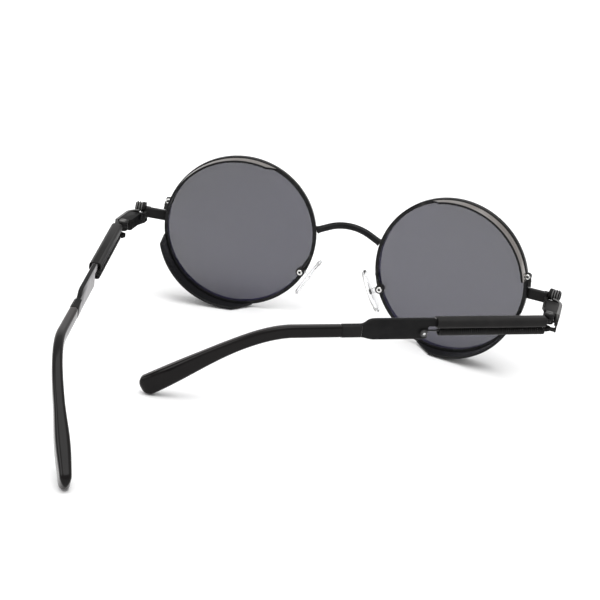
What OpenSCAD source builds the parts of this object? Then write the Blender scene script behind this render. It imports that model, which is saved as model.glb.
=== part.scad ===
// Round metal sunglasses with curved metal side shields,
// spring-backed temples, clear nose pads and black plastic temple tips.
// The frame stands on its two lower shields and on both temple tips.
// +X is the wearer's right, +Y is forward (away from the face), +Z is up.
// The origin lies on the table, midway between the lenses.

/* [Lenses] */
// diameter of each round lens at the top of its bevel
lens_diameter = 48; // [44:0.5:50]
// distance between the two lens centres
lens_apart = 69.4; // [68:0.2:73]
// thickness of the lens
lens_thickness = 1.8; // [1.6:0.1:2.2]
// radius of both lens faces
lens_curve = 130; // [100:5:260]
// angle by which each lens turns back toward the ear
wrap = 8.7; // [7:0.1:10]

/* [Rims] */
// thickness of the rim from its groove to its outside
rim_wall = 0.8; // [0.7:0.05:1]
// depth of the rim, front to back
rim_depth = 2.0; // [1.9:0.1:2.4]
// width of the slit that lets the rim open for its lens
rim_slit = 0.25; // [0.2:0.05:0.35]

/* [Shields] */
// outer radius of the upper shield, less than the rim outside
upper_inset = 0.3; // [0.2:0.05:0.4]
// wall of the upper shield
upper_wall = 0.7; // [0.6:0.05:0.7]
// how far the upper shield stands behind the rim
upper_depth = 4.0; // [3:0.5:6]
// how far the lower shield stands outside the rim
lower_outset = 0.2; // [0.1:0.05:0.3]
// wall of the lower shield
lower_wall = 0.8; // [0.7:0.05:0.9]
// how far the lower shield stands behind the rim at the bottom
lower_depth = 5.2; // [4:0.2:6]

/* [Bridge] */
// thickness of the bridge rod
bridge_rod = 2.2; // [1.8:0.1:2.4]
// radius of the bridge arc along its middle line
bridge_radius = 15.5; // [14:0.5:18]
// height of the bridge top above the lens centres, to its middle line
bridge_rise = 7.75; // [7:0.05:8.6]

/* [Nose pads] */
// length of each pad
pad_length = 14.5; // [12:0.5:15]
// width of each pad, front to back
pad_width = 7; // [6:0.5:8]
// thickness of each pad
pad_thickness = 1.4; // [1.2:0.1:1.5]
// lean of the pads away from upright, seen from the front
pad_splay = 28; // [24:1:32]

/* [End pieces and hinges] */
// height of the bar that leaves the rim
bar_height = 3.2; // [2.8:0.1:3.4]
// thickness of that bar
bar_thickness = 1.8; // [1.6:0.1:2]
// diameter of the hinge knuckles
knuckle = 3.1; // [3:0.05:3.2]
// diameter of the hinge screw in the knuckles
hinge_pin = 1.4; // [1.2:0.1:1.5]
// diameter of the ribbed knob
knob_diameter = 3.1; // [2.9:0.05:3.3]

/* [Temples] */
// thickness of the temple plate
plate_thickness = 1.2; // [1.1:0.05:1.3]
// height of the wide rear plate
plate_height = 6.3; // [5.9:0.1:6.5]
// length from the hinge to the start of the plastic tip
temple_straight = 64.5; // [62:0.5:70]
// height of the hollow housing round the strip
sleeve_height = 3.0; // [2.8:0.1:3.1]
// width of that housing across the strip
sleeve_width = 3.6; // [3.3:0.1:3.8]

/* [Tips] */
// level length of each plastic tip
tip_length = 52.8; // [46:0.1:58]
// how far the tip end turns inward
tip_inward = 10.6; // [7:0.1:12]
// height of the tip section at the front
tip_front = 3.7; // [3.5:0.1:4]
// height of the tip section near its end
tip_back = 6.0; // [5:0.1:6.3]
// length of the metal core wire inside the tip
core_length = 30; // [20:1:34]

/* [Springs] */
// outside diameter of the spring
spring_diameter = 2.4; // [2.2:0.05:2.5]
// thickness of the spring wire
spring_wire = 0.5; // [0.44:0.02:0.5]
// advance of the spring in one turn
spring_pitch = 0.95; // [0.94:0.01:1.1]

/* [Pose] */
// fold of the temple on the wearer's right at rest, 0 is straight back
right_fold = 57.7; // [56:0.1:60]
// fold of the temple on the wearer's left at rest
left_fold = 13.1; // [8:0.1:18]
// how far the lens plane leans forward as the glasses stand
front_lean = 2.6; // [2.4:0.1:2.8]

/* [Hidden] */
$fn = 64;
black = [0.10, 0.10, 0.11];
silver = [0.78, 0.78, 0.80];
smoke = [0.36, 0.36, 0.40, 0.85];
clear = [0.92, 0.93, 0.94, 0.55];
plastic = [0.13, 0.11, 0.11];

// lens and rim radii
lens_r = lens_diameter / 2;
groove_r = lens_r;
lip_r = lens_r - 0.4;
rim_r = lens_r + rim_wall;
half_rim = rim_depth / 2;
upper_r = rim_r - upper_inset;
lower_r = rim_r + lower_outset;

// angles round the rim, from the temple side upward
slit_angle = 12.2;
rim_screw_angle = 15;
rim_screw_r = rim_r + 0.15;
rim_screw_head = 1.7;
rim_screw_shank = 0.8;
upper_start = 13;
upper_full = 105;
upper_end = 113;
lower_start = -11;
lower_start_full = -14;
lower_full = -97;
lower_end = -106;
lower_slant = 4.6;

// height of the lens centres above the table
eye_height = lower_r * cos(front_lean) - half_rim * sin(front_lean);

// outer and nose side of each rim, and the hinge that stands off the outer side
side_x = lens_apart / 2 + rim_r * cos(wrap);
side_y = -rim_r * sin(wrap);
nose_x = lens_apart / 2 - rim_r * cos(wrap);
nose_y = rim_r * sin(wrap);
hinge_out = 8.3;
hinge_back = 15.4;
hinge_rise = 1.32;
hinge_x = side_x + hinge_out;
hinge_y = side_y - hinge_back;
hinge_z = eye_height + hinge_rise;

// bridge, in the lens frame
bridge_half = 26;
bridge_y = nose_y + 0.55;
bridge_arc_x = bridge_radius * sin(bridge_half);
bridge_leg = max(0, nose_x - bridge_arc_x) / cos(bridge_half) + 3;

// hinge stack, heights above the hinge centre line
running = 0.05;
stack_top = 1.05;
stack_high = 0.1;
stack_low = -0.85;
stack_bottom = -1.8;
eye_top = -3.0;
eye_bottom = -4.2;
eye_ring = 2.2;
outer_plate = 2.9;
plate_turn = 4.5;
eye_hole = 0.8;
screw_head = 2.2;
screw_head_height = 0.45;

// temple plate, distances behind the hinge and heights about its line
half_plate = plate_thickness / 2;
plate_out = 1.5;
plate_face = plate_out + half_plate;
plate_back = plate_out - half_plate;
strip_top = 0.75;
strip_bottom = -1.75;
plate_bottom = strip_top - plate_height;
strip_start = 1.75;
recess_end = 38.4;
plate_end = 55;
neck_start = 58;
neck_z = -2.84;
neck_height = 3.9;
ferrule_width = 2.3;
sleeve_start = 1.95;
sleeve_end = 36;
sleeve_wall = 0.35;
sleeve_z = strip_bottom - sleeve_wall + sleeve_height / 2;
// top of the strip where it runs inside the housing
strip_low_top = strip_bottom - 2 * sleeve_wall + sleeve_height - 0.05;

// spring and its two hooks
coil_r = (spring_diameter - spring_wire) / 2;
spring_z = -3.7;
spring_n = plate_out - 0.3;
coil_start = 1.7;
coil_turns = 35;
coil_end = coil_start + coil_turns * spring_pitch;
hook_s = recess_end + 1.5;
hook_z = -3.5;
hook_n = plate_face + spring_wire / 2 + 0.08;
hook_r = 0.8;
spring_screw_shank = 0.96;
spring_screw_head = 2.0;

// nose pad barrel and its screw, in the lens frame, set off the rim beside it
pad_z = -9.45;
pad_reach = sqrt(rim_r * rim_r - pad_z * pad_z);
pad_x = lens_apart / 2 - pad_reach * cos(wrap) + 1.2;
pad_barrel = 2.9;
barrel_gap = 0.32;
barrel_length = 2.2;
barrel_front = pad_reach * sin(wrap) - half_rim * cos(wrap) - barrel_gap;
barrel_back = barrel_front - barrel_length;
slot_width = 1.2;
slot_front = barrel_front - 0.5;
slot_back = slot_front - slot_width;
pad_offset = 3.05;
arm_wire = 0.9;
arm_root_z = -4.1;
arm_root_x = lens_apart / 2 - sqrt(pow(lip_r + 0.6, 2) - arm_root_z * arm_root_z) * cos(wrap);
pad_pin = 0.9;
pad_head = 1.9;

// knob seat, in the table frame
knob_x = side_x + 6.6;
knob_y = side_y - 0.85;
knob_z = eye_height + 2.5;
knob_turn = -11.6;
knob_tilt = 2.5;
flange = 3.8;

// Frames of reference

// the leaning front, its origin midway between the lens centres
module front() {
    translate([0, 0, eye_height])
        rotate([-front_lean, 0, 0])
            children();
}

// round the axis of the lens on the wearer's right: x out, y up, z back
module ring() {
    front()
        translate([lens_apart / 2, 0, 0])
            rotate([0, 0, -wrap])
                rotate([90, 0, 0])
                    children();
}

// the temple on the wearer's right: -y runs along it, x points outward
module on_temple(fold) {
    translate([hinge_x, hinge_y, hinge_z])
        rotate([0, 0, -fold])
            children();
}

module other_side() {
    mirror([1, 0, 0])
        children();
}

// a sector of a ring round z between two angles
module sector(inner, outer, low, high, from, to) {
    rotate([0, 0, from])
        rotate_extrude(angle = to - from, $fn = 96)
            translate([inner, low])
                square([outer - inner, high - low]);
}

// Rim: a grooved band, slit beside its screw, with two lapping ears
module rim() {
    color(black)
        ring()
            difference() {
                union() {
                    rotate_extrude($fn = 96)
                        polygon([
                            [lip_r, -half_rim + 0.1],
                            [lip_r + 0.1, -half_rim],
                            [rim_r - 0.2, -half_rim],
                            [rim_r, -half_rim + 0.2],
                            [rim_r, half_rim - 0.2],
                            [rim_r - 0.2, half_rim],
                            [lip_r + 0.1, half_rim],
                            [lip_r, half_rim - 0.1],
                            [lip_r, 0.42],
                            [groove_r, 0],
                            [lip_r, -0.42]
                        ]);
                    rotate([0, 0, rim_screw_angle])
                        translate([rim_screw_r, 0, -0.6])
                            cylinder(d = 2, h = 0.75);
                    sector(rim_r - 0.3, rim_r + 1.0, 0.28, half_rim - 0.3, 7.5, slit_angle - 0.8);
                    sector(rim_r + 0.1, rim_r + 1.1, 0.2, half_rim, slit_angle - 1.4, 17);
                }
                rotate([0, 0, slit_angle])
                    translate([lip_r - 1, -rim_slit / 2, -2])
                        cube([rim_wall + 1.46, rim_slit, 4]);
                rotate([0, 0, rim_screw_angle])
                    translate([rim_screw_r, 0, -2])
                        cylinder(d = rim_screw_shank + 0.04, h = 4);
            }
}

module rim_screw() {
    color(silver)
        ring()
            rotate([0, 0, rim_screw_angle])
                translate([rim_screw_r, 0, 0])
                    difference() {
                        union() {
                            translate([0, 0, -0.6])
                                cylinder(d = rim_screw_shank, h = half_rim + 0.65);
                            translate([0, 0, half_rim])
                                cylinder(d = rim_screw_head, h = 0.6);
                        }
                        translate([0, 0, half_rim + 0.35])
                            cylinder(d = 0.7, h = 1);
                    }
}

// Lens: two equal sphere faces and a bevel that lies in the rim groove
module lens() {
    body_r = lip_r - 0.02;
    centre = sqrt(lens_curve * lens_curve - body_r * body_r);
    half = lens_thickness / 2;
    color(smoke)
        ring()
            intersection() {
                rotate_extrude($fn = 96)
                    polygon([
                        [0, -5], [body_r, -5], [body_r, -0.38],
                        [groove_r - 0.03, 0], [body_r, 0.38], [body_r, 5], [0, 5]
                    ]);
                difference() {
                    translate([0, 0, centre - half])
                        sphere(r = lens_curve, $fn = 200);
                    translate([0, 0, centre + half])
                        sphere(r = lens_curve, $fn = 200);
                }
            }
}

// Upper shield: a thin curved wall behind the rim, over the outer top
module upper_shield() {
    run = upper_r * (upper_end - upper_full) * PI / 180;
    slope = atan(run / upper_depth);
    color(black)
        ring()
            difference() {
                sector(upper_r - upper_wall, upper_r, half_rim, half_rim + upper_depth,
                    upper_start, upper_end);
                rotate([0, 0, upper_full])
                    translate([upper_r, 0, half_rim + upper_depth])
                        rotate([slope, 0, 0])
                            translate([-5, 0, -20])
                                cube([10, 20, 40]);
                rotate([0, 0, rim_screw_angle])
                    translate([rim_screw_r, 0, half_rim - 1])
                        cylinder(d = rim_screw_head + 0.1, h = 1.7);
            }
}

// Lower shield: a deeper wall round the outer bottom, cut on a slant
module lower_shield() {
    run = lower_r * (lower_full - lower_end) * PI / 180;
    slope = atan(run / lower_depth);
    lead = lower_r * (lower_start - lower_start_full) * PI / 180;
    lead_slope = atan(lead / lower_depth);
    color(black)
        ring()
            difference() {
                sector(lower_r - lower_wall, lower_r, half_rim, half_rim + 12,
                    lower_end, lower_start);
                translate([0, 0, half_rim + lower_depth])
                    rotate([0, -lower_slant, 0])
                        translate([-60, -60, 0])
                            cube([120, 120, 30]);
                rotate([0, 0, lower_full])
                    translate([lower_r, 0, half_rim + lower_depth])
                        rotate([-slope, 0, 0])
                            translate([-5, -20, -20])
                                cube([10, 20, 40]);
                rotate([0, 0, lower_start_full])
                    translate([lower_r, 0, half_rim + lower_depth])
                        rotate([lead_slope, 0, 0])
                            translate([-5, 0, -20])
                                cube([10, 20, 40]);
            }
}

// Bridge: one arched rod between the outsides of both rims
module bridge() {
    color(black)
        difference() {
            front()
                translate([0, bridge_y, bridge_rise - bridge_radius])
                    rotate([90, 0, 0]) {
                        rotate([0, 0, 90 - bridge_half])
                            rotate_extrude(angle = 2 * bridge_half, $fn = 96)
                                translate([bridge_radius, 0])
                                    circle(d = bridge_rod, $fn = 48);
                        for (turn = [0, 1])
                            mirror([turn, 0, 0])
                                rotate([0, 0, 90 - bridge_half])
                                    translate([bridge_radius, 0, 0])
                                        rotate([90, 0, 0])
                                            cylinder(d = bridge_rod, h = bridge_leg, $fn = 48);
                    }
            ring()
                translate([0, 0, -6])
                    cylinder(r = rim_r, h = 12, $fn = 96);
            other_side()
                ring()
                    translate([0, 0, -6])
                        cylinder(r = rim_r, h = 12, $fn = 96);
        }
}

// Nose pads: a bent wire with a slotted barrel, a screw and a rocking pad

// one straight piece of round wire
module wire(from, to, d) {
    run = to - from;
    across = norm([run[0], run[1]]);
    translate(from)
        rotate([0, atan2(across, run[2]), atan2(run[1], run[0])])
            cylinder(d = d, h = norm(run), $fn = 32);
}

module pad_arm() {
    middle = (slot_front + slot_back) / 2;
    root = [arm_root_x, middle + 2.6, arm_root_z];
    bend = [arm_root_x + 0.15, middle + 0.4, arm_root_z - 0.8];
    foot = [pad_x - 0.35, middle, pad_z + pad_barrel / 2 - 0.15];
    color(black)
        difference() {
            front()
                difference() {
                    union() {
                        wire(root, bend, arm_wire);
                        wire(bend, foot, arm_wire);
                        translate(bend)
                            sphere(d = arm_wire + 0.04, $fn = 32);
                        translate([pad_x, barrel_front, pad_z])
                            rotate([90, 0, 0])
                                cylinder(d = pad_barrel, h = barrel_front - barrel_back);
                    }
                    translate([pad_x, barrel_front + 1, pad_z])
                        rotate([90, 0, 0])
                            cylinder(d = pad_pin + 0.02, h = 6);
                    translate([pad_x - 3, slot_back, pad_z - 3])
                        cube([4.05, slot_width, 3.95]);
                    translate([pad_x, slot_front, pad_z])
                        rotate([90, 0, 0])
                            cylinder(r = 1.05, h = slot_width);
                }
            ring()
                translate([0, 0, -half_rim])
                    cylinder(r = rim_r + 2, h = rim_depth);
        }
}

module pad_screw() {
    color(silver)
        front()
            translate([pad_x, barrel_front - 0.1, pad_z])
                rotate([90, 0, 0])
                    difference() {
                        union() {
                            cylinder(d = pad_pin, h = barrel_front - barrel_back);
                            translate([0, 0, barrel_front - barrel_back - 0.1])
                                cylinder(d = pad_head, h = 0.5);
                        }
                        translate([0, 0, barrel_front - barrel_back + 0.15])
                            cylinder(d = 0.7, h = 1);
                    }
}

module nose_pad() {
    middle = (slot_front + slot_back) / 2;
    tab = slot_front - slot_back - 0.12;
    color(clear)
        front()
            translate([pad_x, middle, pad_z])
                rotate([0, 90 - pad_splay, 0])
                    difference() {
                        union() {
                            translate([-pad_length / 2, 0, -pad_offset - pad_thickness / 2])
                                linear_extrude(pad_thickness) {
                                    translate([pad_width / 2, 0])
                                        circle(d = pad_width);
                                    translate([pad_length - pad_width / 2, 0])
                                        circle(d = pad_width);
                                    translate([pad_width / 2, -pad_width / 2])
                                        square([pad_length - pad_width, pad_width]);
                                }
                            rotate([90, 0, 0])
                                translate([0, 0, -tab / 2])
                                    cylinder(r = 0.95, h = tab);
                            translate([-0.8, -tab / 2, -pad_offset])
                                cube([1.6, tab, pad_offset]);
                        }
                        rotate([90, 0, 0])
                            cylinder(d = pad_pin + 0.1, h = 4, center = true);
                    }
}

// End piece: bar, block, curved outer plate, two knuckles and spring eye
module end_piece() {
    foot = [side_x + 0.15, side_y + 0.85, eye_height + 1.1];
    far = [side_x + 6.4, side_y - 2.1, eye_height + 2.0];
    run = far - foot;
    plate_in = outer_plate - 1;
    color(black)
        difference() {
            union() {
                translate(foot)
                    rotate([0, -atan2(run[2], norm([run[0], run[1]])), atan2(run[1], run[0])])
                        translate([-2, -bar_thickness / 2, -bar_height / 2])
                            cube([norm(run) + 2, bar_thickness, bar_height]);
                translate([hinge_x, hinge_y, hinge_z]) {
                    // block that carries the hinge, with a heel up to the bar
                    translate([0, 0, -2.5])
                        linear_extrude(3.6)
                            polygon([
                                [-2.9, 13.4], [-1.75, 13.4], [-1.75, 10.4], [-1.35, 10],
                                [plate_in, 10], [plate_in, 2.2], [-1.6, 2.2], [-1.9, 2.85],
                                [-1.9, 9.4], [-2.9, 10.9]
                            ]);
                    // toe of the block, which passes under the knob
                    translate([0, 0, -2.5])
                        linear_extrude(1.65)
                            polygon([
                                [-2.9, 13.55], [-0.9, 14.25], [1.1, 11.85], [plate_in, 9.65],
                                [plate_in, 8], [-1.9, 8], [-2.9, 11.5]
                            ]);
                    // outer plate: straight beside the block, then round its front
                    translate([plate_in - 0.05, 0.6, -2.6])
                        cube([outer_plate - plate_in + 0.05, 8, 3.85]);
                    translate([outer_plate - plate_turn, 8.6, -2.6])
                        rotate_extrude(angle = 76, $fn = 96)
                            translate([plate_turn - outer_plate + plate_in, 0])
                                square([outer_plate - plate_in, 3.85]);
                    // the two knuckles and their webs
                    translate([0, 0, stack_high])
                        cylinder(d = knuckle, h = stack_top - stack_high);
                    translate([0, 0, stack_bottom])
                        cylinder(d = knuckle, h = stack_low - running - stack_bottom);
                    translate([-1.2, 0, stack_high])
                        cube([2.4, 2.6, stack_top - stack_high]);
                    translate([-1.2, 0, stack_bottom])
                        cube([2.4, 2.6, stack_low - running - stack_bottom]);
                    // arm down to the spring eye
                    translate([outer_plate - 0.6, -0.6, eye_bottom])
                        cube([0.5, 1.8, -0.95 - eye_bottom]);
                    translate([0.6, -0.5, eye_bottom + 0.1])
                        cube([outer_plate - 0.8, 1, eye_top - eye_bottom - 0.2]);
                    translate([0, 0, eye_bottom])
                        cylinder(d = eye_ring, h = eye_top - eye_bottom);
                }
            }
            // room for the middle knuckle
            translate([hinge_x, hinge_y, hinge_z + stack_low - running])
                cylinder(r = knuckle / 2 + 0.12, h = stack_high - stack_low + running);
            // bore for the hinge screw
            translate([hinge_x, hinge_y, hinge_z + stack_bottom - 0.1])
                cylinder(d = hinge_pin + 0.02, h = 4);
            // hole of the spring eye
            translate([hinge_x, hinge_y, hinge_z + eye_bottom - 0.5])
                cylinder(d = eye_hole, h = 2);
            // seat on the outside of the rim
            ring()
                translate([0, 0, -6])
                    cylinder(r = rim_r, h = 12, $fn = 96);
            // threaded seat of the knob
            translate([knob_x, knob_y, knob_z])
                rotate([0, -knob_tilt, knob_turn]) {
                    rotate([0, 90, 0])
                        cylinder(d = flange + 0.2, h = 5);
                    translate([-1.6, 0, 0])
                        rotate([0, 90, 0])
                            cylinder(d = 1.22, h = 5);
                }
        }
}

// Knob: a flange and a ribbed barrel on a short threaded stem
module knob() {
    color(black)
        translate([knob_x, knob_y, knob_z])
            rotate([0, -knob_tilt, knob_turn])
                rotate([0, 90, 0])
                    difference() {
                        union() {
                            translate([0, 0, -1.5])
                                cylinder(d = 1.2, h = 2);
                            cylinder(d = flange, h = 0.7);
                            cylinder(d = knob_diameter, h = 3.3);
                        }
                        for (i = [0:11])
                            rotate([0, 0, i * 30])
                                translate([knob_diameter / 2 + 0.08, 0, 0.95])
                                    cylinder(d = 0.62, h = 3, $fn = 24);
                    }
}

module hinge_screw() {
    color(black)
        translate([hinge_x, hinge_y, hinge_z])
            difference() {
                union() {
                    translate([0, 0, stack_bottom])
                        cylinder(d = hinge_pin, h = stack_top - stack_bottom);
                    translate([0, 0, stack_top])
                        cylinder(d = screw_head, h = screw_head_height);
                }
                translate([-2, -0.15, stack_top + 0.2])
                    cube([4, 0.3, 1]);
            }
}

// Temple: knuckle, narrow strip over the spring, wide plate and neck
module temple() {
    color(black)
        difference() {
            union() {
                translate([0, 0, stack_low])
                    cylinder(d = knuckle, h = stack_high - running - stack_low);
                // web from the knuckle to the strip
                translate([0.3, 0.1 - sleeve_start, stack_low])
                    cube([plate_face - 0.3, sleeve_start - 0.1, stack_high - running - stack_low]);
                // strip and plate outline, cut from one sheet
                translate([plate_face, 0, 0])
                    rotate([0, -90, 0])
                        linear_extrude(plate_thickness)
                            polygon([
                                [strip_low_top, -strip_start],
                                [strip_low_top, -sleeve_end - 0.3],
                                [strip_top, -sleeve_end - 0.6],
                                [strip_top, -plate_end],
                                [strip_top - 0.25, -plate_end - 1.2],
                                [neck_z + neck_height / 2, -neck_start],
                                [neck_z + neck_height / 2, -temple_straight],
                                [neck_z - neck_height / 2, -temple_straight],
                                [neck_z - neck_height / 2, -neck_start],
                                [plate_bottom + 0.25, -plate_end - 1.2],
                                [plate_bottom, -plate_end],
                                [plate_bottom, -recess_end - 0.6],
                                [plate_bottom + 0.6, -recess_end],
                                [strip_bottom - 0.3, -recess_end],
                                [strip_bottom, -recess_end + 0.3],
                                [strip_bottom, -strip_start]
                            ]);
                // ferrule that the plastic tip butts against
                translate([plate_out - ferrule_width / 2, -temple_straight, neck_z - neck_height / 2 + 0.1])
                    cube([ferrule_width, temple_straight - neck_start - 0.4, neck_height - 0.2]);
            }
            translate([0, 0, stack_low - 1])
                cylinder(d = hinge_pin + 2 * running, h = 4);
            translate([-2, -hook_s, hook_z])
                rotate([0, 90, 0])
                    cylinder(d = spring_screw_shank + 0.04, h = 6);
        }
}

// Housing: a rounded hollow sleeve round the strip, closed in front
module sleeve() {
    round_r = 0.8;
    half_wide = sleeve_width / 2;
    half_high = sleeve_height / 2;
    color(black)
        translate([plate_out, -sleeve_start, sleeve_z])
            rotate([90, 0, 0])
                difference() {
                    linear_extrude(sleeve_end - sleeve_start)
                        union() {
                            square([sleeve_width, sleeve_height - 2 * round_r], center = true);
                            square([sleeve_width - 2 * round_r, sleeve_height], center = true);
                            for (x = [-1, 1])
                                for (z = [-1, 1])
                                    translate([x * (half_wide - round_r), z * (half_high - round_r)])
                                        circle(r = round_r, $fn = 40);
                        }
                    // hollow behind the front wall
                    translate([-half_wide + sleeve_wall, -half_high + sleeve_wall, 0.8])
                        cube([sleeve_width - 2 * sleeve_wall, sleeve_height - 2 * sleeve_wall, 60]);
                    // slot in the front wall, filled by the strip
                    translate([-half_plate, strip_bottom - sleeve_z, -1])
                        cube([plate_thickness, strip_low_top - strip_bottom, 3]);
                }
}

module spring_screw() {
    color(silver)
        translate([plate_back, -hook_s, hook_z])
            rotate([0, 90, 0])
                difference() {
                    union() {
                        cylinder(d = spring_screw_shank, h = plate_thickness + spring_wire + 0.4);
                        translate([0, 0, plate_thickness + spring_wire + 0.16])
                            cylinder(d = spring_screw_head, h = 0.45);
                    }
                    translate([0, 0, plate_thickness + spring_wire + 0.4])
                        cylinder(d = 0.7, h = 1);
                }
}

// Sweeps

// unit vector
function unit(v) = v / norm(v);

// directions of travel along a list of points
function tangents(path) = [
    for (i = [0:len(path) - 1])
        unit(path[min(i + 1, len(path) - 1)] - path[max(i - 1, 0)])
];

// side vectors that turn as little as possible along the path
function carried(side, along) = unit(side - (side * along) * along);
function sides(along, first) = [
    for (i = 0, side = carried(first, along[0]);
        i < len(along);
        i = i + 1, side = carried(side, along[min(i, len(along) - 1)]))
        side
];

// rings of points round a path, and the faces that join them
function tube_points(path, r, count, along, side) = [
    for (i = [0:len(path) - 1])
        for (k = [0:count - 1])
            path[i] + r * (cos(360 * k / count) * side[i]
                + sin(360 * k / count) * cross(along[i], side[i]))
];
function tube_faces(rings, count) = concat(
    [[for (k = [0:count - 1]) k]],
    [[for (k = [0:count - 1]) rings * count - 1 - k]],
    [for (i = [0:rings - 2]) for (k = [0:count - 1])
        [i * count + k, (i + 1) * count + k, i * count + (k + 1) % count]],
    [for (i = [0:rings - 2]) for (k = [0:count - 1])
        [i * count + (k + 1) % count, (i + 1) * count + k, (i + 1) * count + (k + 1) % count]]
);
module tube(path, r, count, first) {
    along = tangents(path);
    side = sides(along, first);
    polyhedron(
        points = tube_points(path, r, count, along, side),
        faces = tube_faces(len(path), count),
        convexity = 10
    );
}

// Spring: one wire, from the hinge eye through the coil to the rear hook
rings_per_turn = 8;
lead_z = eye_top + 0.36;
spring_path = concat(
    [
        [0, 0, eye_bottom - 0.5],
        [0, 0, eye_bottom + 0.1],
        [0, 0, eye_top - 0.1],
        [0.02, -0.06, eye_top + 0.16],
        [0.06, -0.18, eye_top + 0.32],
        [0.14, -0.36, lead_z],
        [0.34, -0.7, lead_z],
        [0.62, -1.1, (2 * lead_z + spring_z + coil_r) / 3],
        [spring_n - 0.25, -1.48, spring_z + coil_r]
    ],
    [
        for (i = [0:coil_turns * rings_per_turn - 2])
            [
                spring_n + coil_r * sin(360 * i / rings_per_turn),
                -(coil_start + i * spring_pitch / rings_per_turn),
                spring_z + coil_r * cos(360 * i / rings_per_turn)
            ]
    ],
    [
        [hook_n - 0.5, -coil_end - 0.35, hook_z + hook_r],
        [hook_n - 0.15, -coil_end - 1.0, hook_z + hook_r],
        [hook_n, -coil_end - 1.7, hook_z + hook_r]
    ],
    [
        for (a = [90:24:282])
            [hook_n, -(hook_s - hook_r * cos(a)), hook_z + hook_r * sin(a)]
    ],
    [
        [hook_n, -(hook_s - hook_r * cos(282)) + 0.25 , hook_z - hook_r + 0.08],
        [hook_n, -(hook_s - hook_r * cos(282)) + 0.5, hook_z - hook_r + 0.14]
    ]
);

// least clear distance of the wire to itself
function least_gap(path, d, skip) = min([
    for (i = [0:len(path) - 1 - skip])
        for (j = [i + skip:len(path) - 1])
            norm(path[i] - path[j]) - d
]);

module spring() {
    echo(least_spring_gap = least_gap(spring_path, spring_wire, 7));
    color(black)
        tube(spring_path, spring_wire / 2, 6, [1, 0, 0]);
}

// Tip: a rounded bar that bends down and inward, with a rounded end
tip_rings = 26;
corner_steps = 4;
bend_share = 1.88;
bend_from = 0.26;
function tip_late(t) = max(0, (t - bend_from) / (1 - bend_from));
function tip_bend(t) = bend_share * pow(tip_late(t), 2) - (bend_share - 1) * pow(tip_late(t), 3);
function tip_line(t, drop) = [
    plate_out - tip_inward * tip_bend(t),
    -(temple_straight + tip_length * t),
    neck_z - drop * tip_bend(t)
];
// ring stations: even along the bar, closer at the rounded end
function tip_station(i) = i < 20 ? i * 0.96 / 19.5 : 1 - 0.034 * (1 - sin((i - 19.2) * 90 / 5.8));
function tip_share(i) = i < 20 ? 1 : max(0.12, cos((i - 19.2) * 90 / 5.95));
function tip_high(t) = tip_front + (tip_back - tip_front) * pow(sin(90 * min(1, max(0, (t - 0.5) / 0.5))), 2);
function tip_wide(t) = 2.4 + 0.6 * min(1, t / 0.8);
function tip_outline(high, wide, share) = [
    for (c = [0:3])
        for (k = [0:corner_steps])
            let (
                r = min(high, wide) * 0.36 * share,
                a = c * 90 + k * 90 / corner_steps,
                sx = (c == 0 || c == 3) ? 1 : -1,
                sy = c < 2 ? 1 : -1
            )
            [
                sx * (wide * share / 2 - r) + r * cos(a),
                sy * (high * share / 2 - r) + r * sin(a)
            ]
];
function tip_points(drop) = [
    for (i = [0:tip_rings - 1])
        let (
            t = tip_station(i),
            here = tip_line(t, drop),
            along = i == 0 ? [0, -1, 0] : unit(tip_line(t + 0.002, drop) - tip_line(t - 0.002, drop)),
            side = unit(cross([0, 0, 1], along)),
            up = cross(along, side)
        )
        for (q = tip_outline(tip_high(t), tip_wide(t), tip_share(i)))
            here + q[0] * side + q[1] * up
];
function lowest(points) = min([for (q = points) q[2]]);
// drop that brings the lowest point of the tip to the table
function settled_drop(drop, steps) = steps == 0 ? drop
    : settled_drop(drop + lowest(tip_points(drop)) + hinge_z, steps - 1);
tip_drop = settled_drop(21, 4);

module core_line(length, r) {
    // middle line of the core wire, a little past both ends of its bore
    core_path = [
        for (i = [0:12])
            tip_line(length * i / 12 / tip_length, tip_drop)
    ];
    tube(core_path, r, 8, [1, 0, 0]);
}

module temple_tip() {
    count = 4 * (corner_steps + 1);
    color(plastic)
        difference() {
            polyhedron(
                points = tip_points(tip_drop),
                faces = tube_faces(tip_rings, count),
                convexity = 6
            );
            translate([0, 0.02, 0])
                core_line(core_length + 0.4, 0.72);
        }
}

module core_wire() {
    color(silver)
        core_line(core_length, 0.66);
}

// the temple parts as they stand
module right_temple() { on_temple(right_fold) temple(); }
module left_temple() { other_side() on_temple(left_fold) temple(); }

rim();  // right_rim
other_side() rim();  // left_rim
lens();  // right_lens
other_side() lens();  // left_lens
bridge();
upper_shield();  // right_upper_shield
other_side() upper_shield();  // left_upper_shield
lower_shield();  // right_lower_shield
other_side() lower_shield();  // left_lower_shield
end_piece();  // right_end_piece
other_side() end_piece();  // left_end_piece
knob();  // right_knob
other_side() knob();  // left_knob
rim_screw();  // right_rim_screw
other_side() rim_screw();  // left_rim_screw
pad_arm();  // right_pad_arm
other_side() pad_arm();  // left_pad_arm
pad_screw();  // right_pad_screw
other_side() pad_screw();  // left_pad_screw
nose_pad();  // right_nose_pad
other_side() nose_pad();  // left_nose_pad
hinge_screw();  // right_hinge_screw
other_side() hinge_screw();  // left_hinge_screw
right_temple();
left_temple();
on_temple(right_fold) sleeve();  // right_sleeve
other_side() on_temple(left_fold) sleeve();  // left_sleeve
on_temple(right_fold) spring();  // right_spring
other_side() on_temple(left_fold) spring();  // left_spring
on_temple(right_fold) spring_screw();  // right_spring_screw
other_side() on_temple(left_fold) spring_screw();  // left_spring_screw
on_temple(right_fold) temple_tip();  // right_temple_tip
other_side() on_temple(left_fold) temple_tip();  // left_temple_tip
on_temple(right_fold) core_wire();  // right_core_wire
other_side() on_temple(left_fold) core_wire();  // left_core_wire
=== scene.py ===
import math

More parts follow.
